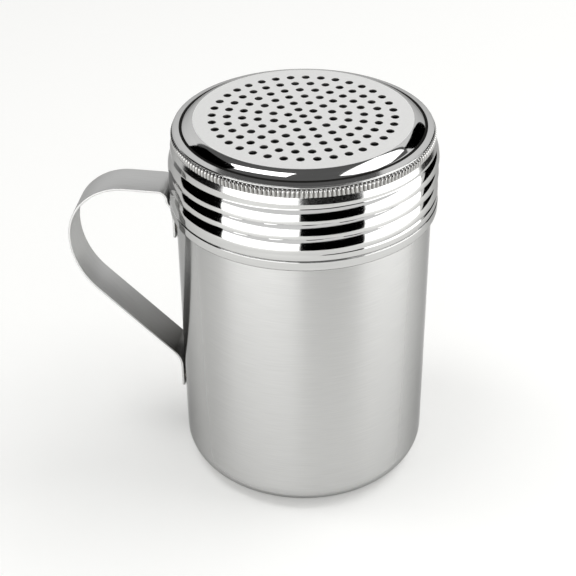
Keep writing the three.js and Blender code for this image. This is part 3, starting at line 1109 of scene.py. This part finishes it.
for face in lid.data.polygons:
    centre = face.center
    out = math.hypot(centre.x, centre.y)
    if face.material_index == DULL:
        continue
    if out < SIEVE_RADIUS:
        # the flat top gets the satin finish with its painted light
        face.material_index = SATIN if face.normal.z > FACES_UP else DULL
    elif any(near < out < far and low < centre.z < high for near, far, low, high in DARK_CREASES):
        # faces in the crease and the groove get painted shade
        face.material_index = CREASED
    elif flare_top - SOFT_FLARE < centre.z < band_top:
        face.material_index = RIBBED
print("faces in creases", sum(face.material_index == CREASED for face in lid.data.polygons))

# %% [markdown]
# Between two ribs the finish gets painted shade. The attribute follows the ribs' own cosine, on the outside
# only: 0 on the top of a rib and 1 half way to the next.

# %% Painted shade between the ribs
rib_shade = lid.data.attributes.new("between_ribs", "FLOAT", "POINT")
for point in lid.data.vertices:
    place = point.co
    if flare_top < place.z < band_top and math.hypot(place.x, place.y) > BAND_RADIUS - LID_WALL:
        gap = (1 - math.cos(SIDES * math.atan2(place.y, place.x))) / 2
        rib_shade.data[point.index].value = gap
print("points with polish", sum(item.value > 0.5 for item in rib_shade.data))
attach(lid, "lid")
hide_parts("lid")
print("lid has", len(lid.data.polygons), "faces")

# %% [markdown]
# ## The hem
#
# The lid's lower edge is folded back on itself, which makes it stiff and safe to hold. From outside it shows
# as a narrow rounded band under a fine crease. It is a closed ring, so its rings go once around its own
# outline and the last one is merged with the first. The fold's underside gets the near black painted shade
# of the creases.

# %% Fold the hem
HEM_RADIUS = 35.3 * MM
HEM_THICKNESS = 0.7 * MM
HEM_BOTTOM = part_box("lid_hem")[0].z
HEM_CREASE = 0.05 * MM  # between the skirt's edge and the hem
HEM_ROUND = 0.3 * MM
HEM_ROUND_STEPS = 6
HEM_ROW = 0.3 * MM
MERGE_DISTANCE = 0.002 * MM
UNDERSIDE = -0.3  # faces whose normal looks down more than this get painted shade
SHADED_UNDERSIDE = 1  # place in the hem's list of materials

outer = HEM_RADIUS - HEM_ROUND
inner = HEM_RADIUS - HEM_THICKNESS + HEM_ROUND
low = HEM_BOTTOM + HEM_ROUND
high = skirt_bottom - HEM_CREASE - HEM_ROUND
hem = disc("hem_ring", HEM_RADIUS, low)
bpy.ops.mesh.select_all(action="SELECT")
bpy.ops.mesh.delete(type="ONLY_FACE")
bpy.ops.mesh.select_all(action="SELECT")
raise_rings(
    (HEM_RADIUS, low),
    rows(low, high, HEM_RADIUS, HEM_ROW)
    + arc(outer, high, HEM_ROUND, 0, 90, HEM_ROUND_STEPS)
    + arc(inner, high, HEM_ROUND, 90, 180, HEM_ROUND_STEPS)
    + [(HEM_RADIUS - HEM_THICKNESS, low)]
    + arc(inner, low, HEM_ROUND, 180, 270, HEM_ROUND_STEPS)
    + arc(outer, low, HEM_ROUND, 270, 360, HEM_ROUND_STEPS),
)
bpy.ops.mesh.select_all(action="SELECT")
bpy.ops.mesh.remove_doubles(threshold=MERGE_DISTANCE)
bpy.ops.mesh.normals_make_consistent(inside=False)
close_piece()
smooth()
hem.data.materials.append(buffed)
hem.data.materials.append(creased)
# the hem's underside gets painted shade
for face in hem.data.polygons:
    if face.normal.z < UNDERSIDE:
        face.material_index = SHADED_UNDERSIDE
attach(hem, "lid_edge")
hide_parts("lid_hem")
print("hem", size_in_mm(hem), "mm")

# %% [markdown]
# ## The strap handle
#
# The handle is one strip of sheet, bent over a former. It is made the same way: each straight run is an
# extrusion of the strip's end, and each bend is a spin of that end about the former's centre. The strip's
# middle surface is shaped first, and gets its thickness to both sides afterwards.
#
# The corner points are where the straight runs would meet, as (x, z) from the upper tab to the lower one. A
# bend of a radius takes a leg off each run beside it.

# %% Corners and bends of the strap
STRAP_WIDTH = 11.2 * MM
STRAP_THICKNESS = 0.6 * MM
TAB_X, STEP_X, LOOP_X = -34.2, -35.75, -63.15  # in millimetres: on the wall, beside the lid, at the back
CORNERS = [
    Vector((x, z)) * MM
    for x, z in (
        (TAB_X, 67.565),
        (TAB_X, 76.665),
        (STEP_X, 78.665),
        (STEP_X, 81.765),
        (LOOP_X, 82.665),
        (LOOP_X, 57.065),
        (TAB_X, 28.35),
        (TAB_X, 18.0),
    )
]
BENDS = [radius * MM for radius in (2, 2, 2.4, 15.7, 22.2, 7.5)]


def bend_legs():
    """Length that each bend takes off the runs beside it, made shorter where two bends share a short run."""
    legs = [0.0]
    for before, corner, after, radius in zip(CORNERS, CORNERS[1:], CORNERS[2:], BENDS):
        angle = (before - corner).angle(after - corner)
        legs.append(radius / math.tan(angle / 2))
    legs.append(0.0)
    runs = [(b - a).length for a, b in zip(CORNERS, CORNERS[1:])]
    shares = [min(1.0, run / (legs[i] + legs[i + 1])) for i, run in enumerate(runs)]
    inner = [legs[i] * min(shares[i - 1], shares[i]) for i in range(1, len(CORNERS) - 1)]
    return [0.0] + inner + [0.0]


legs = bend_legs()
print("legs in mm", [round(leg / MM, 2) for leg in legs])

# %% [markdown]
# The strip starts as a flat plane, as long as the upper tab's straight part and as wide as the strap. Its
# upper end is then led from corner to corner. The centre of each bend lies on the line that halves the
# corner, and the side on which it lies says which way the spin turns.

# %% Bend the strap
BEND_STEP = math.radians(3)
FEWEST_STEPS = 4
SHORTEST_RUN = 0.01 * MM

first = CORNERS[1] + (CORNERS[0] - CORNERS[1]).normalized() * legs[1]
bpy.ops.object.select_all(action="DESELECT")
bpy.ops.mesh.primitive_plane_add(size=1)
strap = bpy.context.object
strap.name = "strap"
strap.matrix_world = (
    Matrix.Translation((CORNERS[0].x, 0, (CORNERS[0].y + first.y) / 2))
    @ Matrix.Rotation(math.pi / 2, 4, "Y")
    @ Matrix.Diagonal(((first - CORNERS[0]).length, STRAP_WIDTH, 1, 1))
)
bpy.ops.object.transform_apply()
open_piece(strap)
pick(strap, lambda place: place.z > first.y - SAME_PLACE)
for i in range(1, len(CORNERS) - 1):
    back = (CORNERS[i - 1] - CORNERS[i]).normalized()
    ahead = (CORNERS[i + 1] - CORNERS[i]).normalized()
    half = back.angle(ahead) / 2
    centre = CORNERS[i] + (back + ahead).normalized() * legs[i] / math.cos(half)
    sweep = math.pi - 2 * half
    sense = 1 if back.x * ahead.y - back.y * ahead.x < 0 else -1
    bpy.ops.mesh.spin(
        steps=max(FEWEST_STEPS, math.ceil(sweep / BEND_STEP)),
        angle=sense * sweep,
        center=(centre.x, 0, centre.y),
        axis=(0, 1, 0),
    )
    run = (CORNERS[i + 1] - CORNERS[i]).length - legs[i] - legs[i + 1]
    if run > SHORTEST_RUN:
        step = ahead * run
        bpy.ops.mesh.extrude_region_move(TRANSFORM_OT_translate={"value": (step.x, 0, step.y)})
last = [vertex.co.copy() for vertex in bmesh.from_edit_mesh(strap.data).verts if vertex.select][0]
print("strap ends at", [round(c / MM, 3) for c in last], "for", [round(c / MM, 3) for c in CORNERS[-1]])

# %% [markdown]
# The tabs' four corners are rounded while the strip is still thin, as a blanking tool would cut them. Then
# the strip gets its thickness, and its cut edges are broken.

# %% Round the tabs' corners and give the strap its thickness
TAB_CORNER = 1.5 * MM
TAB_CORNER_STEPS = 6
TAB_MARGIN = 0.01 * MM


def tab_corner(place):
    """A test for the four corners of the strip, at its two ends on the wall."""
    from_end = min(abs(place.z - CORNERS[0].y), abs(place.z - CORNERS[-1].y))
    return abs(place.x - CORNERS[0].x) < TAB_MARGIN and from_end < TAB_MARGIN


bpy.ops.mesh.select_mode(type="VERT")
pick(strap, tab_corner)
bpy.ops.mesh.bevel(offset=TAB_CORNER, segments=TAB_CORNER_STEPS, affect="VERTICES")
bpy.ops.mesh.select_all(action="SELECT")
bpy.ops.mesh.remove_doubles(threshold=MERGE_DISTANCE)
bpy.ops.mesh.normals_make_consistent(inside=False)
close_piece()
strap.data.materials.append(brushed_strap)
thick = strap.modifiers.new("thickness", "SOLIDIFY")
thick.thickness = STRAP_THICKNESS
thick.offset = 0
thick.use_even_offset = True
bpy.ops.object.modifier_apply(modifier=thick.name)
break_edges(strap)

# %% [markdown]
# Beside the wall, on the upper side of the lower run, the strap gets painted shade: a dark tint that stands
# in for the shade there. The cup mirrors it as an upright dark strip. The shade's attribute grows from
# nothing at some distance from the wall to full at the bend, and the tab below it stays untinted.

# %% Painted shade in the corner by the wall
SHADE_STARTS_X, SHADE_FULL_X = -42 * MM, -34.8 * MM  # the painted shade deepens between these places along X
SHADE_BOTTOM, SHADE_FULL_Z, SHADE_TOP = 28 * MM, 31 * MM, 60 * MM  # above the tab, and up the lower run

wall_shade = strap.data.attributes.new("painted_shade_by_wall", "FLOAT", "POINT")
for point in strap.data.vertices:
    place = point.co
    if point.normal.z > 0 and SHADE_BOTTOM < place.z < SHADE_TOP:
        share = (place.x - SHADE_STARTS_X) / (SHADE_FULL_X - SHADE_STARTS_X)
        above_tab = (place.z - SHADE_BOTTOM) / (SHADE_FULL_Z - SHADE_BOTTOM)
        wall_shade.data[point.index].value = max(0.0, min(1.0, share, above_tab))
print("points with film", sum(item.value > 0 for item in wall_shade.data))
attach(strap, "vessel")
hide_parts("handle")
print("strap", size_in_mm(strap), "mm")

# %% [markdown]
# ## The spot welds
#
# Two spots of fused metal hold each tab to the wall. They sit in the narrow gap behind the tab, so their CAD
# shape is right as it is and only their material changes: dull, slightly browned by heat.

# %% Weld material
welds = [node for name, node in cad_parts.items() if name.startswith("weld_")]
for weld in welds:
    for material_slot in weld.material_slots:
        material_slot.material = weld_steel
print("welds", len(welds))
